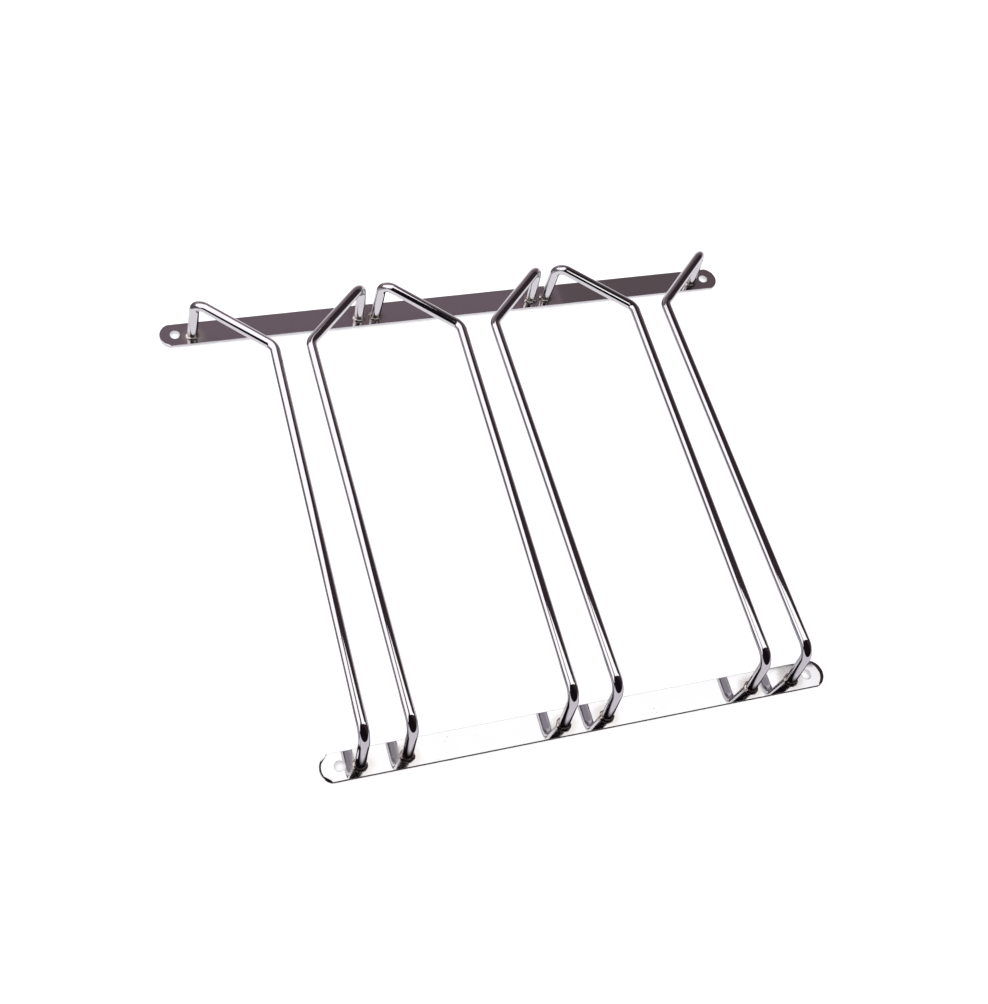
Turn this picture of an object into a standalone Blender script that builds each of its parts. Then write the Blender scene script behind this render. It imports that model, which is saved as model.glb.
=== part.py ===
"""Hanging rack for stemmed glasses: three channels of chrome-plated wire on two flat steel strips.

The rack lies as it is shipped, strips down and wires up. In use it is turned over and the strips
are screwed under a shelf. A glass hangs by its foot: the foot goes in between two entry legs, over
the entry strip, and its stem slides along the gap between a pair of wires up to the stop legs.

Frame: X along the strips, +Y towards the entry end, +Z up from the shelf face of the strips.
The origin is at the middle of the box round the rack, on the strips' shelf face.
"""

import math

import bmesh
import bpy
from mathutils import Vector

# ---- Driving dimensions, in metres -------------------------------------------------------------
CHANNELS = 3
CHANNEL_PITCH = 0.100

STRIP_SPACING = 0.252
STRIP_WIDTH = 0.014
STRIP_THICKNESS = 0.0015
STRIP_END_RADIUS = 0.0075
STRIP_EDGE_ROUND = 0.0002
ENTRY_STRIP_LENGTH = 0.325
STOP_STRIP_LENGTH = 0.260

HOLE_DIAMETER = 0.005
ENTRY_HOLE_SPAN = 0.309
STOP_HOLE_SPAN = 0.241

WIRE_DIAMETER = 0.0055
WIRE_BEND_RADIUS = 0.007
RUN_HEIGHT = 0.028            # wire centre over the strips' top face
RUN_SPREAD_AT_STOP = 0.0224   # centre to centre of one channel's two wires
RUN_SPREAD_AT_MOUTH = 0.0190
ENTRY_LEG_SPREAD = 0.091      # centre to centre of one channel's two entry legs, at their feet
MOUTH_DEPTH = 0.0345          # from the entry strip's centre line to the lead-in's inner bend
FOOT_OFFSET = 0.0013          # the feet stand this far to the stop side of each strip's centre line
STOP_LEG_LEAN = 0.0026        # the bends spring back a little, so the legs lean in at the top
ENTRY_LEG_LEAN = 0.0012

WELD_WIDTH = 0.0009           # radial width of the metal squeezed out round a foot
WELD_HEIGHT = 0.0009
FIT_GAP = 0.0003              # clearance between neighbouring solids

# ---- Mesh fineness -----------------------------------------------------------------------------
STRIP_END_STEPS = 12
HOLE_SIDES = 32
BEND_STEPS = 12
WIRE_BEVEL_RESOLUTION = 8
WELD_SIDES = 24

# ---- Worked out from the driving dimensions ----------------------------------------------------
ENTRY_STRIP_Y = STRIP_SPACING / 2
STOP_STRIP_Y = -STRIP_SPACING / 2
ENTRY_FOOT_Y = ENTRY_STRIP_Y - FOOT_OFFSET
STOP_FOOT_Y = STOP_STRIP_Y - FOOT_OFFSET
RUN_Z = STRIP_THICKNESS + RUN_HEIGHT
WIRE_RADIUS = WIRE_DIAMETER / 2
# A leaning leg is cut square, so its low edge dips under its centre by this much.
STOP_FOOT_DIP = WIRE_RADIUS * STOP_LEG_LEAN / RUN_HEIGHT
FOOT_Z = STRIP_THICKNESS + FIT_GAP + STOP_FOOT_DIP

SIDES = {"left": -1, "right": 1}


def clear_scene():
    for old in list(bpy.data.objects):
        bpy.data.objects.remove(old, do_unlink=True)


def plated_steel(name, colour, roughness):
    """A bright plated metal surface for one sub-part."""
    material = bpy.data.materials.new(name)
    material.use_nodes = True
    shader = material.node_tree.nodes["Principled BSDF"]
    shader.inputs["Base Color"].default_value = (*colour, 1.0)
    shader.inputs["Metallic"].default_value = 1.0
    shader.inputs["Roughness"].default_value = roughness
    material.diffuse_color = (*colour, 1.0)
    return material


def place(name, data, location, parent):
    """Put one sub-part in the scene, under the rack."""
    item = bpy.data.objects.new(name, data)
    item.location = location
    item.parent = parent
    bpy.context.collection.objects.link(item)
    return item


def strip_outline(length):
    """Corner points of a flat strip with a shallow arc at each end, counter-clockwise."""
    half_angle = math.asin(STRIP_WIDTH / 2 / STRIP_END_RADIUS)
    arc_centre = length / 2 - STRIP_END_RADIUS
    outline = []
    for end, turn in ((1, 0.0), (-1, math.pi)):
        for step in range(STRIP_END_STEPS + 1):
            angle = turn - half_angle + 2 * half_angle * step / STRIP_END_STEPS
            x = end * arc_centre + STRIP_END_RADIUS * math.cos(angle)
            y = STRIP_END_RADIUS * math.sin(angle)
            outline.append((x, y))
    return outline


def strip_mesh(name, length):
    """The blanked strip, from its shelf face at z = 0 up."""
    work = bmesh.new()
    face = work.faces.new([work.verts.new((x, y, 0.0)) for x, y in strip_outline(length)])
    raised = bmesh.ops.extrude_face_region(work, geom=[face])
    lifted = [part for part in raised["geom"] if isinstance(part, bmesh.types.BMVert)]
    bmesh.ops.translate(work, verts=lifted, vec=(0.0, 0.0, STRIP_THICKNESS))
    bmesh.ops.recalc_face_normals(work, faces=work.faces)
    mesh = bpy.data.meshes.new(name)
    work.to_mesh(mesh)
    work.free()
    return mesh


def hole_cutter(strip, x):
    """A round punch that cuts one screw hole through a strip."""
    work = bmesh.new()
    bmesh.ops.create_cone(
        work,
        cap_ends=True,
        segments=HOLE_SIDES,
        radius1=HOLE_DIAMETER / 2,
        radius2=HOLE_DIAMETER / 2,
        depth=STRIP_THICKNESS * 3,
    )
    mesh = bpy.data.meshes.new("screw_hole_punch")
    work.to_mesh(mesh)
    work.free()
    cutter = place("screw_hole_punch", mesh, (x, 0.0, STRIP_THICKNESS / 2), strip)
    cutter.hide_render = True
    cutter.display_type = "WIRE"
    return cutter


def add_strip(name, length, hole_span, y, rack):
    mesh = strip_mesh(name, length)
    mesh.materials.append(plated_steel(name, (0.80, 0.80, 0.82), 0.06))
    strip = place(name, mesh, (0.0, y, 0.0), rack)
    edge = strip.modifiers.new("rolled_edge", "BEVEL")
    edge.width = STRIP_EDGE_ROUND
    edge.segments = 2
    edge.limit_method = "ANGLE"
    edge.angle_limit = math.radians(60)
    for side in SIDES.values():
        punch = strip.modifiers.new("screw_hole", "BOOLEAN")
        punch.operation = "DIFFERENCE"
        punch.solver = "EXACT"
        punch.object = hole_cutter(strip, side * hole_span / 2)
    return strip


def bent_centre_line(corners, radius):
    """Straight runs between the corners, with every inner corner rounded to the bend radius."""
    points = [corners[0]]
    for before, corner, after in zip(corners, corners[1:], corners[2:]):
        back = (before - corner).normalized()
        ahead = (after - corner).normalized()
        half_opening = back.angle(ahead) / 2
        centre = corner + (back + ahead).normalized() * radius / math.sin(half_opening)
        start = corner + back * radius / math.tan(half_opening) - centre
        finish = corner + ahead * radius / math.tan(half_opening) - centre
        turn = start.angle(finish)
        for step in range(BEND_STEPS + 1):
            done = turn * step / BEND_STEPS
            arm = start * math.sin(turn - done) + finish * math.sin(done)
            points.append(centre + arm / math.sin(turn))
    points.append(corners[-1])
    return points


def rail_corners(side):
    """Corner points of one wire, from its entry foot to its stop foot, about its channel's middle."""
    entry_foot_x = side * ENTRY_LEG_SPREAD / 2
    entry_top_x = entry_foot_x - side * ENTRY_LEG_LEAN
    mouth_x = side * RUN_SPREAD_AT_MOUTH / 2
    stop_x = side * RUN_SPREAD_AT_STOP / 2
    return [
        Vector((entry_foot_x, ENTRY_FOOT_Y, FOOT_Z)),
        Vector((entry_top_x, ENTRY_FOOT_Y, RUN_Z)),
        Vector((mouth_x, ENTRY_STRIP_Y - MOUTH_DEPTH, RUN_Z)),
        Vector((stop_x, STOP_FOOT_Y + STOP_LEG_LEAN, RUN_Z)),
        Vector((stop_x, STOP_FOOT_Y, FOOT_Z)),
    ]


def add_rail(name, channel_x, side, rack):
    """One round wire, bent up from the entry foot, in to the channel, along it and down again."""
    curve = bpy.data.curves.new(name, "CURVE")
    curve.dimensions = "3D"
    curve.bevel_depth = WIRE_RADIUS
    curve.bevel_resolution = WIRE_BEVEL_RESOLUTION
    curve.use_fill_caps = True
    points = bent_centre_line(rail_corners(side), WIRE_BEND_RADIUS)
    spline = curve.splines.new("POLY")
    spline.points.add(len(points) - 1)
    for knot, point in zip(spline.points, points):
        knot.co = (*point, 1.0)
    spline.use_smooth = True
    curve.materials.append(plated_steel(name, (0.82, 0.82, 0.84), 0.05))
    return place(name, curve, (channel_x, 0.0, 0.0), rack)


def weld_mesh():
    """A low ring with a rounded outer slope, turned round the wire's foot."""
    inner = WIRE_RADIUS + FIT_GAP
    profile = [
        (inner, 0.0),
        (inner + WELD_WIDTH, 0.0),
        (inner + WELD_WIDTH * 0.94, WELD_HEIGHT * 0.45),
        (inner + WELD_WIDTH * 0.60, WELD_HEIGHT * 0.85),
        (inner, WELD_HEIGHT),
    ]
    work = bmesh.new()
    verts = [work.verts.new((radius, 0.0, height)) for radius, height in profile]
    edges = [work.edges.new(pair) for pair in zip(verts, verts[1:] + verts[:1])]
    bmesh.ops.spin(
        work,
        geom=verts + edges,
        cent=(0.0, 0.0, 0.0),
        axis=(0.0, 0.0, 1.0),
        angle=math.tau,
        steps=WELD_SIDES,
        use_merge=True,
    )
    bmesh.ops.remove_doubles(work, verts=work.verts, dist=0.00001)
    bmesh.ops.recalc_face_normals(work, faces=work.faces)
    mesh = bpy.data.meshes.new("weld_ring")
    work.to_mesh(mesh)
    work.free()
    mesh.shade_smooth()
    mesh.set_sharp_from_angle(angle=math.radians(50))
    return mesh


def add_weld(name, mesh, x, y, rack):
    ring = place(name, mesh, (x, y, STRIP_THICKNESS + FIT_GAP), rack)
    ring.material_slots[0].link = "OBJECT"
    ring.material_slots[0].material = plated_steel(name, (0.70, 0.70, 0.71), 0.22)
    return ring


def build_rack():
    clear_scene()
    rack = bpy.data.objects.new("glass_rack", None)
    bpy.context.collection.objects.link(rack)

    add_strip("strip_entry", ENTRY_STRIP_LENGTH, ENTRY_HOLE_SPAN, ENTRY_STRIP_Y, rack)
    add_strip("strip_stop", STOP_STRIP_LENGTH, STOP_HOLE_SPAN, STOP_STRIP_Y, rack)

    ring_mesh = weld_mesh()
    ring_mesh.materials.append(None)
    for number in range(1, CHANNELS + 1):
        channel_x = (number - (CHANNELS + 1) / 2) * CHANNEL_PITCH
        for side_name, side in SIDES.items():
            place_name = f"{number}_{side_name}"
            add_rail(f"rail_{place_name}", channel_x, side, rack)
            entry_x = channel_x + side * ENTRY_LEG_SPREAD / 2
            stop_x = channel_x + side * RUN_SPREAD_AT_STOP / 2
            add_weld(f"weld_entry_{place_name}", ring_mesh, entry_x, ENTRY_FOOT_Y, rack)
            add_weld(f"weld_stop_{place_name}", ring_mesh, stop_x, STOP_FOOT_Y, rack)


build_rack()
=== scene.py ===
"""Looks of the three-channel hanging glass rack: plated flat strips, plated bent wires and their welds.

The rack lies on a white sheet with its wires up, as it is shipped. Sizes are in metres.
"""

import math
from itertools import product

import bmesh
import bpy
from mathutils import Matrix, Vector, noise


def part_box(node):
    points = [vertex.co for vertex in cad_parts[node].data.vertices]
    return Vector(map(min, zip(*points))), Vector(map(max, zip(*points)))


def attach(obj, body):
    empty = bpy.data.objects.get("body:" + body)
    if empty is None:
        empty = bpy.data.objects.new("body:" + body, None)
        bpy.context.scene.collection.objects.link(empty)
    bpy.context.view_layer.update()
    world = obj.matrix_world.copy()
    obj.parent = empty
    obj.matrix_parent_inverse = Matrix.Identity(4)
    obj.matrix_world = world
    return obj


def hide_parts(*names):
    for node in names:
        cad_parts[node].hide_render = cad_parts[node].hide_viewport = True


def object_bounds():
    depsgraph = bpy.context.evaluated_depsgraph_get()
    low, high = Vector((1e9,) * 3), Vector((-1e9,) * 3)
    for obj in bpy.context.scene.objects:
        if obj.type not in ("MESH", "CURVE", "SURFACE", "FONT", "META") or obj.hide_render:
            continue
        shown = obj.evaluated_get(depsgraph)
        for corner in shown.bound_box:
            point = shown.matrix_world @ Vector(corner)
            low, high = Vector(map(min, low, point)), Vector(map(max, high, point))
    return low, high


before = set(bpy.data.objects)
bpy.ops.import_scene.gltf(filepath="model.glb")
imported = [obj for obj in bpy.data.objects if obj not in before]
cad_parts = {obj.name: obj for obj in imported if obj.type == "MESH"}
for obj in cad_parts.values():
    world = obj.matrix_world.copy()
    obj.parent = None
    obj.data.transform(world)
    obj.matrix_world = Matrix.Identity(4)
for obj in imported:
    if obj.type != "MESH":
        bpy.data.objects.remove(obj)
CAD_BOX = [list(corner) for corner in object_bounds()]
MM = 0.001


# ---- Flat strips ---------------------------------------------------------------------------------
# The two mounting strips are blanked from 1.5 mm mild steel strip. The punch rolls their upper edges
# over, most of all at the short strip's rounded ends, and rounds the rim of each screw hole.

STRIP_END_RADIUS = 7.5 * MM
STRIP_EDGE_ROUND = 0.10 * MM
BASE_EDGE_INSET = 0.12 * MM
BASE_EDGE_HEIGHT = 0.10 * MM
SIDE_ROLL_WIDTH = 0.06 * MM
END_ROLL_WIDTH = 2.3 * MM
END_ROLL_DROP = {"strip_entry": 0.03 * MM, "strip_stop": 0.26 * MM}
HOLE_RADIUS = 2.5 * MM
HOLE_RIM = 0.16 * MM
HOLE_BASE_INSET = 0.10 * MM
HOLE_BASE_HEIGHT = 0.08 * MM
HOLE_FLAT_START = 0.12 * MM
HOLE_INSET = {"strip_entry": 8.0 * MM, "strip_stop": 9.5 * MM}
FLAT_START = 0.1 * MM
END_STEPS = 40
SIDE_STEPS = 90
HOLE_STEPS = 72
EDGE_STEPS = 6
ROLL_STEPS = 7
RIM_STEPS = 5
SHARP_CORNER = math.radians(50)
STRIP_HEAT_INNER = 4.0 * MM
STRIP_HEAT_OUTER = 8.5 * MM
STRIP_HEAT_WOBBLE = 1.2 * MM

STRIP_PLATE_DIM = (0.600, 0.590, 0.610, 1.0)
STRIP_PLATE_BRIGHT = (0.640, 0.630, 0.650, 1.0)
STRIP_HEAT_TINT = (0.46, 0.40, 0.37, 1.0)
STRIP_SPECK = (0.25, 0.23, 0.22, 1.0)


def node_adder(tree):
    """A helper that adds a node with its settings to one tree."""

    def add(kind, **settings):
        node = tree.nodes.new(kind)
        for key, value in settings.items():
            setattr(node, key, value)
        return node

    return add


def new_nodes(material_name):
    """A fresh node material: its tree, its shader and a helper to add nodes."""
    material = bpy.data.materials.new(material_name)
    material.use_nodes = True
    tree = material.node_tree
    return material, tree, tree.nodes["Principled BSDF"], node_adder(tree)


def wire_in(tree, source, target):
    """Join two sockets, or set a plain value."""
    if isinstance(source, bpy.types.NodeSocket):
        tree.links.new(source, target)
    else:
        target.default_value = source


def maths(tree, add, operation, first, second=0.0, third=0.0):
    """One sum on up to three values or sockets."""
    node = add("ShaderNodeMath", operation=operation)
    wire_in(tree, first, node.inputs[0])
    wire_in(tree, second, node.inputs[1])
    wire_in(tree, third, node.inputs[2])
    return node.outputs[0]


def stretched(tree, add, coordinates, scale):
    """The same coordinates, stretched along or across the metal."""
    node = add("ShaderNodeMapping")
    wire_in(tree, coordinates, node.inputs["Vector"])
    node.inputs["Scale"].default_value = scale
    return node.outputs["Vector"]


def noise_of(tree, add, coordinates, scale, detail, roughness=0.55):
    """Cloudy noise, about 0.3 to 0.7, with this many lumps to the metre."""
    node = add("ShaderNodeTexNoise")
    wire_in(tree, coordinates, node.inputs["Vector"])
    node.inputs["Scale"].default_value = scale
    node.inputs["Detail"].default_value = detail
    node.inputs["Roughness"].default_value = roughness
    return node.outputs["Fac"]


def ranged(tree, add, value, low, high, to_low, to_high, smooth=False):
    """The value's stretch from low to high, brought to another stretch and held at its ends."""
    node = add("ShaderNodeMapRange")
    if smooth:
        node.interpolation_type = "SMOOTHSTEP"
    wire_in(tree, value, node.inputs["Value"])
    node.inputs["From Min"].default_value = low
    node.inputs["From Max"].default_value = high
    node.inputs["To Min"].default_value = to_low
    node.inputs["To Max"].default_value = to_high
    return node.outputs["Result"]


def blended(tree, add, factor, first, second):
    """A colour between two colours."""
    node = add("ShaderNodeMix", data_type="RGBA")
    wire_in(tree, factor, node.inputs["Factor"])
    wire_in(tree, first, node.inputs["A"])
    wire_in(tree, second, node.inputs["B"])
    return node.outputs["Result"]


def bumped(tree, add, height, distance, normal=None):
    """A relief this deep in the plate, over an earlier one if there is one."""
    node = add("ShaderNodeBump")
    wire_in(tree, height, node.inputs["Height"])
    node.inputs["Distance"].default_value = distance
    node.inputs["Strength"].default_value = 1.0
    if normal is not None:
        wire_in(tree, normal, node.inputs["Normal"])
    return node.outputs["Normal"]


def specks_of(tree, add, place, scale, size, patch_scale, patch_edge):
    """Tiny round pits in the plate, gathered in a few patches."""
    cells = add("ShaderNodeTexVoronoi", feature="F1")
    wire_in(tree, place, cells.inputs["Vector"])
    cells.inputs["Scale"].default_value = scale
    pits = ranged(tree, add, cells.outputs["Distance"], 0.05, size, 1.0, 0.0, smooth=True)
    spread = noise_of(tree, add, place, patch_scale, detail=0.0)
    patches = ranged(tree, add, spread, patch_edge, 0.66, 0.0, 1.0)
    return maths(tree, add, "MULTIPLY", pits, patches)


def faded(tree, add, first, second, factor, strength):
    """The second colour laid over the first one, at the factor times the strength."""
    return blended(tree, add, maths(tree, add, "MULTIPLY", factor, strength), first, second)


def strip_plating(name, feet):
    """Bright plate over rolled strip: faint rolling lines, rub marks, and a heat bloom at each foot."""
    material, tree, shader, add = new_nodes(name)
    place = add("ShaderNodeTexCoord").outputs["Object"]
    rolled_way = stretched(tree, add, place, (0.02, 1.0, 1.0))
    rolling = noise_of(tree, add, rolled_way, scale=2600.0, detail=2.0)
    cloud = noise_of(tree, add, place, scale=60.0, detail=4.0)
    sagged_way = stretched(tree, add, place, (0.6, 1.0, 1.0))
    sag = noise_of(tree, add, sagged_way, scale=28.0, detail=1.0)
    peel = noise_of(tree, add, place, scale=420.0, detail=2.0)
    rubbed_way = stretched(tree, add, place, (0.08, 1.0, 1.0))
    rub = noise_of(tree, add, rubbed_way, scale=700.0, detail=5.0, roughness=0.7)
    rub = ranged(tree, add, rub, 0.60, 0.72, 0.0, 1.0, smooth=True)
    speck = specks_of(tree, add, place, scale=260.0, size=0.09, patch_scale=90.0, patch_edge=0.60)
    nearest = 1.0
    for foot in feet:
        away = add("ShaderNodeVectorMath", operation="DISTANCE")
        wire_in(tree, place, away.inputs[0])
        away.inputs[1].default_value = foot
        nearest = maths(tree, add, "MINIMUM", nearest, away.outputs["Value"])
    wobble = ranged(tree, add, cloud, 0.3, 0.7, -STRIP_HEAT_WOBBLE, STRIP_HEAT_WOBBLE)
    nearest = maths(tree, add, "ADD", nearest, wobble)
    bloom = ranged(tree, add, nearest, STRIP_HEAT_INNER, STRIP_HEAT_OUTER, 1.0, 0.0, smooth=True)
    bright = blended(tree, add, cloud, STRIP_PLATE_DIM, STRIP_PLATE_BRIGHT)
    stained = faded(tree, add, bright, STRIP_HEAT_TINT, bloom, strength=0.35)
    flecked = faded(tree, add, stained, STRIP_SPECK, speck, strength=0.6)
    wire_in(tree, flecked, shader.inputs["Base Color"])
    dull = maths(tree, add, "MULTIPLY_ADD", rub, 0.04, 0.030)
    dull = maths(tree, add, "MULTIPLY_ADD", bloom, 0.09, dull)
    dull = maths(tree, add, "MULTIPLY_ADD", rolling, 0.03, dull)
    wire_in(tree, dull, shader.inputs["Roughness"])
    shader.inputs["Metallic"].default_value = 1.0
    normal = bumped(tree, add, sag, 0.030 * MM)
    normal = bumped(tree, add, peel, 0.0006 * MM, normal=normal)
    normal = bumped(tree, add, rolling, 0.0003 * MM, normal=normal)
    wire_in(tree, normal, shader.inputs["Normal"])
    return material


def strip_plan(length, width, inset_side, inset_end):
    """Points round a strip's edge, drawn in from its sides and from its rounded ends."""
    half_angle = math.asin(width / 2 / STRIP_END_RADIUS)
    arc_centre = length / 2 - STRIP_END_RADIUS
    plan = []
    for end in (1, -1):
        for step in range(END_STEPS + 1):
            angle = half_angle * (2 * step / END_STEPS - 1)
            share = math.cos(angle * math.pi / 2 / half_angle) ** 0.5
            inset = inset_side + (inset_end - inset_side) * share
            reach = STRIP_END_RADIUS - inset
            x = arc_centre + reach * math.cos(angle)
            y = reach * math.sin(angle)
            limit = width / 2 - inset_side
            y = max(-limit, min(limit, y))
            plan.append((end * x, end * y))
        start = Vector(plan[-1])
        finish = Vector((-start.x, start.y))
        for step in range(1, SIDE_STEPS):
            plan.append(tuple(start.lerp(finish, step / SIDE_STEPS)))
    return plan


def strip_levels(thickness, roll_drop):
    """The strip's edge section from the shelf face up: height, draw-in at the sides, at the ends."""
    levels = [(0.0, BASE_EDGE_INSET, BASE_EDGE_INSET), (BASE_EDGE_HEIGHT, 0.0, 0.0)]
    for step in range(EDGE_STEPS + 1):
        angle = math.pi / 2 * step / EDGE_STEPS
        drop = STRIP_EDGE_ROUND * (1 - math.sin(angle)) + roll_drop
        inset = STRIP_EDGE_ROUND * (1 - math.cos(angle))
        levels.append((thickness - drop, inset, inset))
    for step in range(1, ROLL_STEPS + 1):
        share = step / ROLL_STEPS
        height = thickness - roll_drop * (1 - share) ** 2
        inset_side = STRIP_EDGE_ROUND + SIDE_ROLL_WIDTH * share
        inset_end = STRIP_EDGE_ROUND + END_ROLL_WIDTH * share
        levels.append((height, inset_side, inset_end))
    flat_side = STRIP_EDGE_ROUND + 2 * SIDE_ROLL_WIDTH
    flat_end = STRIP_EDGE_ROUND + END_ROLL_WIDTH + FLAT_START
    levels.append((thickness, flat_side, flat_end))
    return levels


def hole_section(thickness):
    """A punched hole's wall from the shelf face up: height, and how much wider than the hole it is."""
    levels = [(0.0, HOLE_BASE_INSET), (HOLE_BASE_HEIGHT, 0.0)]
    for step in range(RIM_STEPS + 1):
        angle = math.pi / 2 * step / RIM_STEPS
        drop = HOLE_RIM * (1 - math.sin(angle))
        levels.append((thickness - drop, HOLE_RIM * (1 - math.cos(angle))))
    levels.append((thickness, HOLE_RIM + HOLE_FLAT_START))
    return levels


def bridge(work, lower, upper):
    """Quads between two rings of the same count."""
    count = len(lower)
    for i in range(count):
        j = (i + 1) % count
        work.faces.new((lower[i], lower[j], upper[j], upper[i]))


def edges_of_ring(work, ring):
    pairs = zip(ring, ring[1:] + ring[:1])
    return [work.edges.get(pair) or work.edges.new(pair) for pair in pairs]


def made_object(work, name):
    """The finished bmesh as an object in the scene."""
    mesh = bpy.data.meshes.new(name)
    work.to_mesh(mesh)
    work.free()
    item = bpy.data.objects.new(name, mesh)
    bpy.context.scene.collection.objects.link(item)
    return item


def build_strip(name, thickness, length, width, centre):
    work = bmesh.new()
    rings = []
    for height, inset_side, inset_end in strip_levels(thickness, END_ROLL_DROP[name]):
        plan = strip_plan(length, width, inset_side, inset_end)
        rings.append([work.verts.new((x, y, height)) for x, y in plan])
    for lower, upper in zip(rings, rings[1:]):
        bridge(work, lower, upper)
    hole_x = length / 2 - HOLE_INSET[name]
    top_edges = edges_of_ring(work, rings[-1])
    base_edges = edges_of_ring(work, rings[0])
    for x in (-hole_x, hole_x):
        hole_rings = []
        for height, wider in hole_section(thickness):
            reach = HOLE_RADIUS + wider
            ring = []
            for step in range(HOLE_STEPS):
                angle = -math.tau * step / HOLE_STEPS
                corner = (x + reach * math.cos(angle), reach * math.sin(angle), height)
                ring.append(work.verts.new(corner))
            hole_rings.append(ring)
        for lower, upper in zip(hole_rings, hole_rings[1:]):
            bridge(work, lower, upper)
        top_edges += edges_of_ring(work, hole_rings[-1])
        base_edges += edges_of_ring(work, hole_rings[0])
    bmesh.ops.triangle_fill(work, use_beauty=True, edges=top_edges, normal=(0, 0, 1))
    bmesh.ops.triangle_fill(work, use_beauty=True, edges=base_edges, normal=(0, 0, -1))
    bmesh.ops.recalc_face_normals(work, faces=work.faces)
    strip = made_object(work, f"{name}_plated")
    strip.location = centre
    strip.data.shade_smooth()
    strip.data.set_sharp_from_angle(angle=SHARP_CORNER)
    return strip


ENDS = ("entry", "stop")
CHANNELS = ("1", "2", "3")
SIDES = ("left", "right")


def foot_place(end, channel, side):
    """Where a wire's foot stands: the middle of its weld, at the strip's top face."""
    low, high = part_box(f"weld_{end}_{channel}_{side}")
    strip_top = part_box(f"strip_{end}")[1].z
    return Vector(((low.x + high.x) / 2, (low.y + high.y) / 2, strip_top))


for end in ENDS:
    node = f"strip_{end}"
    low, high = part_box(node)
    centre = Vector(((low.x + high.x) / 2, (low.y + high.y) / 2, low.z))
    strip = build_strip(node, high.z - low.z, high.x - low.x, high.y - low.y, centre)
    feet = [foot_place(end, channel, side) - centre for channel, side in product(CHANNELS, SIDES)]
    strip.data.materials.append(strip_plating(f"{node}_bright_plate", feet))
    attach(strip, "root")
    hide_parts(node)


# ---- Wires ---------------------------------------------------------------------------------------
# Each rail is one length of 5.5 mm drawn mild steel wire, bent cold at three places and plated after
# welding. Drawing leaves fine lines along it, and the bends stretch the plate a little.

WIRE_BEND_RADIUS = 7.0 * MM
RUN_SPREAD_AT_MOUTH = 19.0 * MM
MOUTH_DEPTH = 34.5 * MM
ENTRY_LEG_LEAN = 1.2 * MM
STOP_LEG_LEAN = 2.6 * MM
WIRE_SIDES = 48
BEND_STEPS = 28
FOOT_SINK = 0.10 * MM
CAP_DOME = 0.02 * MM
RING_GAP = 6.0 * MM
WIRE_HEAT_LOW = 3.6 * MM
WIRE_HEAT_HIGH = 9.0 * MM
WIRE_HEAT_WOBBLE = 3.0 * MM

WIRE_PLATE_DIM = (0.590, 0.580, 0.600, 1.0)
WIRE_PLATE_BRIGHT = (0.640, 0.630, 0.650, 1.0)
WIRE_HEAT_TINT = (0.42, 0.28, 0.20, 1.0)
WIRE_SPECK = (0.20, 0.18, 0.17, 1.0)


def wire_plating(name):
    """Bright plate over drawn wire. The UV map runs round the wire and along it, in metres."""
    material, tree, shader, add = new_nodes(name)
    place = add("ShaderNodeTexCoord").outputs["Object"]
    along = add("ShaderNodeUVMap", uv_map="along_wire").outputs["UV"]
    drawn_way = stretched(tree, add, along, (1.0, 0.012, 1.0))
    drawn = noise_of(tree, add, drawn_way, scale=5200.0, detail=2.0)
    cloud = noise_of(tree, add, place, scale=75.0, detail=4.0)
    sway = noise_of(tree, add, along, scale=55.0, detail=1.0)
    peel = noise_of(tree, add, place, scale=620.0, detail=2.0)
    rubbed_way = stretched(tree, add, along, (1.0, 0.10, 1.0))
    rub = noise_of(tree, add, rubbed_way, scale=900.0, detail=5.0, roughness=0.7)
    rub = ranged(tree, add, rub, 0.61, 0.72, 0.0, 1.0, smooth=True)
    speck = specks_of(tree, add, place, scale=300.0, size=0.10, patch_scale=110.0, patch_edge=0.61)
    height = add("ShaderNodeSeparateXYZ")
    wire_in(tree, place, height.inputs[0])
    low_part = maths(tree, add, "MULTIPLY_ADD", cloud, WIRE_HEAT_WOBBLE, height.outputs["Z"])
    bloom = ranged(tree, add, low_part, WIRE_HEAT_LOW, WIRE_HEAT_HIGH, 1.0, 0.0, smooth=True)
    bright = blended(tree, add, cloud, WIRE_PLATE_DIM, WIRE_PLATE_BRIGHT)
    stained = faded(tree, add, bright, WIRE_HEAT_TINT, bloom, strength=0.55)
    flecked = faded(tree, add, stained, WIRE_SPECK, speck, strength=0.6)
    wire_in(tree, flecked, shader.inputs["Base Color"])
    dull = maths(tree, add, "MULTIPLY_ADD", rub, 0.05, 0.035)
    dull = maths(tree, add, "MULTIPLY_ADD", bloom, 0.12, dull)
    dull = maths(tree, add, "MULTIPLY_ADD", drawn, 0.03, dull)
    wire_in(tree, dull, shader.inputs["Roughness"])
    shader.inputs["Metallic"].default_value = 1.0
    normal = bumped(tree, add, sway, 0.018 * MM)
    normal = bumped(tree, add, peel, 0.0010 * MM, normal=normal)
    normal = bumped(tree, add, drawn, 0.0003 * MM, normal=normal)
    wire_in(tree, normal, shader.inputs["Normal"])
    return material


def bent_line(corners):
    """The wire's centre line: straight between the corners, with each inner corner bent round."""
    line = [corners[0]]
    for before, corner, after in zip(corners, corners[1:], corners[2:]):
        back = (before - corner).normalized()
        ahead = (after - corner).normalized()
        half_opening = back.angle(ahead) / 2
        hub = corner + (back + ahead).normalized() * WIRE_BEND_RADIUS / math.sin(half_opening)
        reach = WIRE_BEND_RADIUS / math.tan(half_opening)
        start = corner + back * reach - hub
        finish = corner + ahead * reach - hub
        turn = start.angle(finish)
        for step in range(BEND_STEPS + 1):
            done = turn * step / BEND_STEPS
            arm = start * math.sin(turn - done) + finish * math.sin(done)
            line.append(hub + arm / math.sin(turn))
    line.append(corners[-1])
    return line


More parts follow.
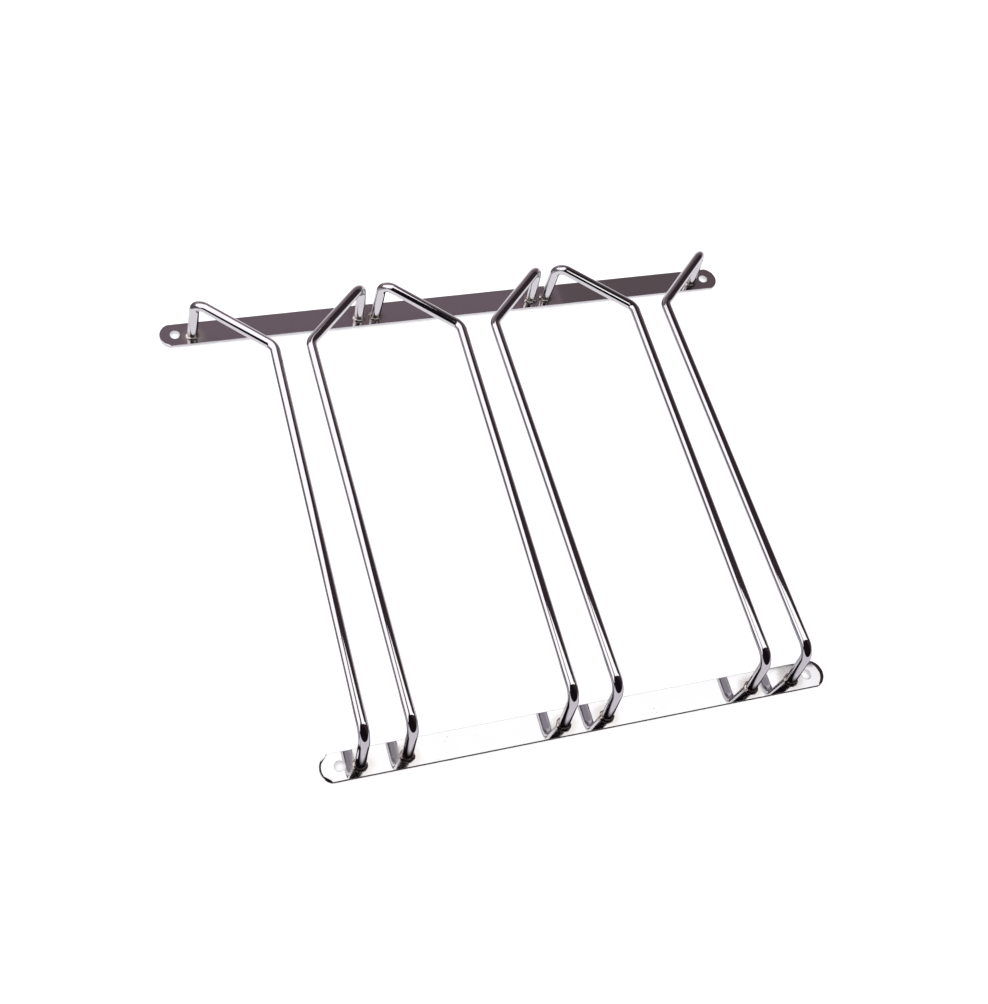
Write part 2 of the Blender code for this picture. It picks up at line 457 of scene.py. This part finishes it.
def spaced(line, gap):
    """The same line with extra points on its long straights, so that the mesh stays even."""
    points = [line[0]]
    for start, finish in zip(line, line[1:]):
        count = max(1, round((finish - start).length / gap))
        points += [start.lerp(finish, step / count) for step in range(1, count + 1)]
    return points


def build_wire(name, line, radius):
    """A round tube along the line, its ends closed by slightly domed caps, with an even UV map."""
    points = spaced(line, RING_GAP)
    ahead = [(b - a).normalized() for a, b in zip(points, points[1:])]
    between = [(a + b).normalized() for a, b in zip(ahead, ahead[1:])]
    tangents = [ahead[0]] + between + [ahead[-1]]
    work = bmesh.new()
    across = tangents[0].orthogonal().normalized()
    rings = []
    travelled = [0.0]
    for i, (point, tangent) in enumerate(zip(points, tangents)):
        across = (across - tangent * across.dot(tangent)).normalized()
        upward = tangent.cross(across)
        ring = []
        for step in range(WIRE_SIDES):
            angle = math.tau * step / WIRE_SIDES
            spoke = across * math.cos(angle) + upward * math.sin(angle)
            ring.append(work.verts.new(point + spoke * radius))
        rings.append(ring)
        if i:
            travelled.append(travelled[-1] + (point - points[i - 1]).length)
    uv = work.loops.layers.uv.new("along_wire")
    girth = math.tau * radius
    for i, (lower, upper) in enumerate(zip(rings, rings[1:])):
        for j in range(WIRE_SIDES):
            k = (j + 1) % WIRE_SIDES
            face = work.faces.new((lower[j], lower[k], upper[k], upper[j]))
            rounds = (j, j + 1, j + 1, j)
            stations = (i, i, i + 1, i + 1)
            for loop, turn, station in zip(face.loops, rounds, stations):
                loop[uv].uv = (girth * turn / WIRE_SIDES, travelled[station])
    caps = ((rings[0], -tangents[0], points[0]), (rings[-1], tangents[-1], points[-1]))
    for ring, outward, point in caps:
        tip = work.verts.new(point + outward * CAP_DOME)
        for a, b in zip(ring, ring[1:] + ring[:1]):
            work.faces.new((a, b, tip))
    bmesh.ops.recalc_face_normals(work, faces=work.faces)
    wire = made_object(work, name)
    wire.data.shade_smooth()
    wire.data.set_sharp_from_angle(angle=SHARP_CORNER)
    return wire


wire_finish = wire_plating("wire_bright_plate")
strip_low, strip_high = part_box("strip_entry")
mouth_y = (strip_low.y + strip_high.y) / 2 - MOUTH_DEPTH
sink = Vector((0.0, 0.0, -FOOT_SINK))
for channel, side in product(CHANNELS, SIDES):
    node = f"rail_{channel}_{side}"
    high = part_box(node)[1]
    entry_foot = foot_place("entry", channel, side)
    stop_foot = foot_place("stop", channel, side)
    wire_radius = high.y - entry_foot.y
    run_height = high.z - wire_radius
    outward = 1 if side == "right" else -1
    channel_x = (foot_place("stop", channel, "left").x + foot_place("stop", channel, "right").x) / 2
    mouth_x = channel_x + outward * RUN_SPREAD_AT_MOUTH / 2
    corners = [
        entry_foot + sink,
        Vector((entry_foot.x - outward * ENTRY_LEG_LEAN, entry_foot.y, run_height)),
        Vector((mouth_x, mouth_y, run_height)),
        Vector((stop_foot.x, stop_foot.y + STOP_LEG_LEAN, run_height)),
        stop_foot + sink,
    ]
    wire = build_wire(f"{node}_plated", bent_line(corners), wire_radius)
    wire.data.materials.append(wire_finish)
    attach(wire, "root")
    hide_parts(node)


# ---- Welds ---------------------------------------------------------------------------------------
# The feet are projection-welded: current and pressure melt the foot into the strip and squeeze a
# thin uneven collar of metal out round it. The plate covers the collar, duller than the wire.

WELD_STEPS = 72
COLLAR_TUCK = 0.12 * MM
COLLAR_SINK = -0.12
PHASE_STEP = 3.7

WELD_DIM = (0.42, 0.38, 0.36, 1.0)
WELD_BRIGHT = (0.60, 0.57, 0.57, 1.0)
WELD_PORE = (0.12, 0.10, 0.09, 1.0)

# The collar's outline: how far out from the wire, and how high, as shares of its width and height.
COLLAR_SECTION = (
    (0.00, 1.00),
    (0.10, 0.98),
    (0.28, 0.86),
    (0.48, 0.72),
    (0.68, 0.52),
    (0.86, 0.28),
    (0.96, 0.12),
    (1.00, 0.00),
)


def weld_plating(name):
    """Plate over squeezed weld metal: lumpy, matt in its folds, faintly straw-coloured."""
    material, tree, shader, add = new_nodes(name)
    place = add("ShaderNodeTexCoord").outputs["Object"]
    lumps = noise_of(tree, add, place, scale=900.0, detail=4.0, roughness=0.6)
    pores = add("ShaderNodeTexVoronoi", feature="F1")
    wire_in(tree, place, pores.inputs["Vector"])
    pores.inputs["Scale"].default_value = 1500.0
    pores = ranged(tree, add, pores.outputs["Distance"], 0.10, 0.30, 1.0, 0.0, smooth=True)
    tone = blended(tree, add, lumps, WELD_DIM, WELD_BRIGHT)
    pitted = faded(tree, add, tone, WELD_PORE, pores, strength=0.5)
    wire_in(tree, pitted, shader.inputs["Base Color"])
    wire_in(tree, ranged(tree, add, lumps, 0.3, 0.7, 0.08, 0.22), shader.inputs["Roughness"])
    shader.inputs["Metallic"].default_value = 1.0
    normal = bumped(tree, add, lumps, 0.03 * MM)
    normal = bumped(tree, add, pores, 0.010 * MM, normal=normal)
    wire_in(tree, normal, shader.inputs["Normal"])
    return material


def build_collar(name, foot, wire_radius, width, height, phase):
    """A low uneven ring round a foot. It dips into the wire and the strip, so no gap shows."""
    work = bmesh.new()
    rings = []
    tuck = -COLLAR_TUCK / width
    section = ((tuck, 1.06), *COLLAR_SECTION, (0.97, COLLAR_SINK), (tuck, COLLAR_SINK))
    for share, rise in section:
        ring = []
        for step in range(WELD_STEPS):
            angle = math.tau * step / WELD_STEPS
            around = Vector((math.cos(angle), math.sin(angle), 0.0))
            swell = noise.noise(around * 1.6 + Vector((phase, 0.0, 0.0)))
            ripple = noise.noise(around * 5.5 + Vector((0.0, phase, 0.0)))
            local_width = width * (0.86 + 0.28 * swell + 0.10 * ripple)
            local_height = height * (0.84 + 0.30 * swell + 0.14 * ripple)
            reach = wire_radius + local_width * share
            ring.append(work.verts.new(around * reach + Vector((0.0, 0.0, local_height * rise))))
        rings.append(ring)
    for lower, upper in zip(rings, rings[1:] + rings[:1]):
        bridge(work, lower, upper)
    bmesh.ops.recalc_face_normals(work, faces=work.faces)
    collar = made_object(work, name)
    collar.data.shade_smooth()
    collar.location = foot
    return collar


weld_finish = weld_plating("weld_plate")
for number, (end, channel, side) in enumerate(product(ENDS, CHANNELS, SIDES)):
    node = f"weld_{end}_{channel}_{side}"
    low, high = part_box(node)
    foot = foot_place(end, channel, side)
    collar_width = (high.x - low.x) / 2 - wire_radius
    collar_height = high.z - foot.z
    phase = PHASE_STEP * number
    collar = build_collar(f"{node}_plated", foot, wire_radius, collar_width, collar_height, phase)
    collar.data.materials.append(weld_finish)
    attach(collar, "root")
    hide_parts(node)


# ---- White sheet ---------------------------------------------------------------------------------
# The rack lies on a plain sheet of matt white card that runs well past it. The sheet itself stays out
# of the plate's reflections, where the studio's cards and table take its place.

SHEET_HALF = 6.0
SHEET_WHITE = (0.86, 0.86, 0.86, 1.0)
SHEET_ROUGHNESS = 0.9
SHEET_GAP = 0.05 * MM


def flat_piece(name, corners):
    """One flat face through the corners, as an object."""
    work = bmesh.new()
    work.faces.new([work.verts.new(corner) for corner in corners])
    return made_object(work, name)


sheet_turns = ((-1, -1), (1, -1), (1, 1), (-1, 1))
white_sheet = flat_piece("white_sheet", [(SHEET_HALF * x, SHEET_HALF * y, 0.0) for x, y in sheet_turns])
white_sheet.location.z = CAD_BOX[0][2] - SHEET_GAP
sheet_material = new_nodes("matt_white_card")[0]
sheet_shader = sheet_material.node_tree.nodes["Principled BSDF"]
sheet_shader.inputs["Base Color"].default_value = SHEET_WHITE
sheet_shader.inputs["Roughness"].default_value = SHEET_ROUGHNESS
white_sheet.data.materials.append(sheet_material)
white_sheet.visible_glossy = False


# ---- Studio cards --------------------------------------------------------------------------------
# Boards over the rack show in the plate as its bands: a wide white one on the left, a smaller white one
# overhead, and a pair beyond the rack that darken towards it. Glowing grey cards lie on the sheet in
# front of the rack and under the wires' stop ends. They show only in the plate, where they paint the
# sheet's shade and, at the near strip's front edge, a painted contact shadow.

BOARD_HEIGHT = 0.33
CARD_HEIGHT = 0.02 * MM
LEFT_SKIRT_DROP = 0.26

LEFT_BOARD_PLAN = (
    (-0.050, 0.160),
    (-0.215, 0.090),
    (-0.330, 0.010),
    (-0.480, -0.040),
    (-2.0, -0.350),
    (-2.0, 1.40),
    (-0.45, 0.50),
    (-0.20, 0.345),
    (-0.010, 0.335),
)
OVERHEAD_BOARD_PLAN = (
    (-0.185, -0.075),
    (-0.170, 0.030),
    (-0.120, 0.055),
    (0.024, 0.022),
    (0.34, -0.010),
    (0.34, -0.075),
)
FAR_BOARD_PLAN = (
    (0.0, 0.17),
    (0.215, 0.17),
    (0.215, 0.75),
    (-0.6, 0.75),
    (-0.25, 0.39),
    (-0.20, 0.340),
    (0.0, 0.340),
)
FAR_RIGHT_BOARD_PLAN = ((0.215, 0.17), (1.2, 0.17), (1.2, 0.75), (0.215, 0.75))
FRONT_CARD_PLAN = ((-0.6, -0.131), (-0.6, -0.9), (0.6, -0.9), (0.6, -0.131))
UNDER_WIRE_CARD_PLAN = ((-0.6, -0.095), (-0.6, -0.121), (0.6, -0.121), (0.6, -0.095))

LEFT_WHITE = (1.64, 1.59, 1.62, 1.0)
OVERHEAD_WHITE = (1.62, 1.63, 1.60, 1.0)
OVERHEAD_RIGHT = (1.30, 1.27, 1.28, 1.0)
FAR_DARK = (0.040, 0.028, 0.032, 1.0)
FAR_GREY = (0.215, 0.163, 0.187, 1.0)
FAR_RIGHT_GREY = (0.150, 0.118, 0.128, 1.0)
# Painted shade: the sheet in front of the rack, fading to a painted contact shadow (FOOT_SHADE) at the
# near strip's front edge.
FRONT_PAINTED_SHADE = (0.86, 0.82, 0.88, 1.0)
FOOT_SHADE = (0.050, 0.034, 0.032, 1.0)
# Painted shade: the sheet under the wires' stop ends, where the strip and wires shade it.
UNDER_WIRE_PAINTED_SHADE = (0.56, 0.53, 0.58, 1.0)

OVERHEAD_FADE = ("X", 0.27, 0.34)
FAR_FADE = ("Y", 0.29, 0.37)
FRONT_SHADOW_FADE = ("Y", -0.1380, -0.1335)


def at_height(plan, height):
    return [(x, y, height) for x, y in plan]


def glowing_card(name, corners, colour, second_colour=None, fade=None):
    """A flat board that shows in the plate only. A fade runs to a second colour along an axis."""
    board = flat_piece(name, corners)
    material = bpy.data.materials.new(f"{name}_light")
    material.use_nodes = True
    material.cycles.emission_sampling = "NONE"
    tree = material.node_tree
    tree.nodes.clear()
    add = node_adder(tree)
    glow = add("ShaderNodeEmission")
    glow.inputs["Color"].default_value = colour
    if fade:
        axis, start, finish = fade
        split = add("ShaderNodeSeparateXYZ")
        wire_in(tree, add("ShaderNodeTexCoord").outputs["Object"], split.inputs[0])
        share = ranged(tree, add, split.outputs[axis], start, finish, 0.0, 1.0, smooth=True)
        wire_in(tree, blended(tree, add, share, colour, second_colour), glow.inputs["Color"])
    out = add("ShaderNodeOutputMaterial")
    wire_in(tree, glow.outputs[0], out.inputs["Surface"])
    board.data.materials.append(material)
    board.visible_camera = False
    board.visible_diffuse = False
    board.visible_shadow = False
    board.visible_transmission = False


glowing_card("left_board", at_height(LEFT_BOARD_PLAN, BOARD_HEIGHT), LEFT_WHITE)
skirt_low = BOARD_HEIGHT - LEFT_SKIRT_DROP
skirt = [
    (-2.0, -0.35, BOARD_HEIGHT),
    (-2.0, 0.9, BOARD_HEIGHT),
    (-2.0, 0.9, skirt_low),
    (-2.0, -0.35, skirt_low),
]
glowing_card("left_skirt", skirt, LEFT_WHITE)
overhead = at_height(OVERHEAD_BOARD_PLAN, BOARD_HEIGHT)
glowing_card("overhead_board", overhead, OVERHEAD_WHITE, OVERHEAD_RIGHT, OVERHEAD_FADE)
far_board = at_height(FAR_BOARD_PLAN, BOARD_HEIGHT)
glowing_card("far_board", far_board, FAR_DARK, FAR_GREY, FAR_FADE)
far_right = at_height(FAR_RIGHT_BOARD_PLAN, BOARD_HEIGHT)
glowing_card("far_right_board", far_right, FAR_DARK, FAR_RIGHT_GREY, FAR_FADE)
# A glowing card on the sheet that paints the sheet's shade in front of the rack, and the near strip's
# contact shadow, into the plate.
front_shade_card = at_height(FRONT_CARD_PLAN, CARD_HEIGHT)
glowing_card("front_shade_card", front_shade_card, FRONT_PAINTED_SHADE, FOOT_SHADE, FRONT_SHADOW_FADE)
# A glowing card on the sheet that paints the shade under the wires' stop ends into the plate.
glowing_card("under_wire_shade_card", at_height(UNDER_WIRE_CARD_PLAN, CARD_HEIGHT), UNDER_WIRE_PAINTED_SHADE)


# ---- Studio light --------------------------------------------------------------------------------
# A soft white dome lights the sheet. In the plate the rest of the room shows instead: a wall nearly
# black in front, brownish ones on the right and beyond, and the white table below with its dark edge.

DOME_LIGHT = 1.80
TABLE = (1.05, 1.02, 1.06, 1.0)
TABLE_EDGE = (0.13, 0.115, 0.12, 1.0)
FRONT_DARK = (0.010, 0.007, 0.009, 1.0)
RIGHT_WALL = (0.044, 0.030, 0.034, 1.0)
FAR_WALL = (0.205, 0.158, 0.182, 1.0)
FAR_HORIZON = (0.46, 0.41, 0.43, 1.0)
DOME_WHITE = (1.0, 1.0, 1.0, 1.0)
RIGHT_WALL_SLANT = 0.6
FAR_WALL_START = 1.2
HORIZON_DIP = 0.06
TABLE_EDGE_DEPTH = -0.60
TABLE_EDGE_WAY = (-0.87, 0.50)
TABLE_EDGE_START = 0.62

world = bpy.data.worlds.new("studio")
bpy.context.scene.world = world
world.use_nodes = True
world.cycles.sampling_method = "NONE"
tree = world.node_tree
tree.nodes.clear()
add = node_adder(tree)


def past(value, edge, softness):
    """0 under the edge, 1 over it, with a soft step between."""
    return ranged(tree, add, value, edge - softness, edge + softness, 0.0, 1.0, smooth=True)


way = add("ShaderNodeSeparateXYZ")
wire_in(tree, add("ShaderNodeTexCoord").outputs["Generated"], way.inputs[0])
x, y, z = way.outputs
down = maths(tree, add, "MULTIPLY", z, -1.0)
over_y = maths(tree, add, "DIVIDE", y, maths(tree, add, "MAXIMUM", z, 0.02))

wall_side = maths(tree, add, "MULTIPLY_ADD", x, RIGHT_WALL_SLANT, y)
walls = blended(tree, add, past(wall_side, 0.0, 0.25), FRONT_DARK, RIGHT_WALL)
walls = blended(tree, add, past(over_y, FAR_WALL_START, 0.5), walls, FAR_WALL)
low_far = maths(tree, add, "MULTIPLY", past(y, 0.80, 0.15), past(down, -0.38, 0.30))
walls = blended(tree, add, low_far, walls, FAR_HORIZON)

below = past(down, HORIZON_DIP, 0.05)
seen = blended(tree, add, below, walls, TABLE)
edge_x, edge_y = TABLE_EDGE_WAY
bearing = maths(tree, add, "MULTIPLY_ADD", y, edge_y, maths(tree, add, "MULTIPLY", x, edge_x))
edge_band = maths(tree, add, "MULTIPLY", below, past(z, TABLE_EDGE_DEPTH, 0.05))
edge_band = maths(tree, add, "MULTIPLY", edge_band, past(bearing, TABLE_EDGE_START, 0.10))
seen = blended(tree, add, edge_band, seen, TABLE_EDGE)

reflected = add("ShaderNodeBackground")
wire_in(tree, seen, reflected.inputs["Color"])
dome = add("ShaderNodeBackground")
dome.inputs["Color"].default_value = DOME_WHITE
dome.inputs["Strength"].default_value = DOME_LIGHT
chooser = add("ShaderNodeMixShader")
wire_in(tree, add("ShaderNodeLightPath").outputs["Is Glossy Ray"], chooser.inputs["Fac"])
wire_in(tree, dome.outputs[0], chooser.inputs[1])
wire_in(tree, reflected.outputs[0], chooser.inputs[2])
surface = add("ShaderNodeOutputWorld")
wire_in(tree, chooser.outputs[0], surface.inputs["Surface"])

bpy.context.scene.view_settings.view_transform = "Standard"


# ---- Camera --------------------------------------------------------------------------------------
# The rack is seen from its stop end and a little from the left, looking down on it. The camera is
# tilted a few degrees.

CAMERA_PLACE = (-0.2263, -0.3430, 0.6330)
CAMERA_TURN = (31.036, -10.370, -15.547)
CAMERA_LENS = 51.83

camera = bpy.data.objects.new("camera", bpy.data.cameras.new("camera"))
camera.data.lens = CAMERA_LENS
camera.location = CAMERA_PLACE
camera.rotation_euler = [math.radians(angle) for angle in CAMERA_TURN]
bpy.context.scene.collection.objects.link(camera)
bpy.context.scene.camera = camera
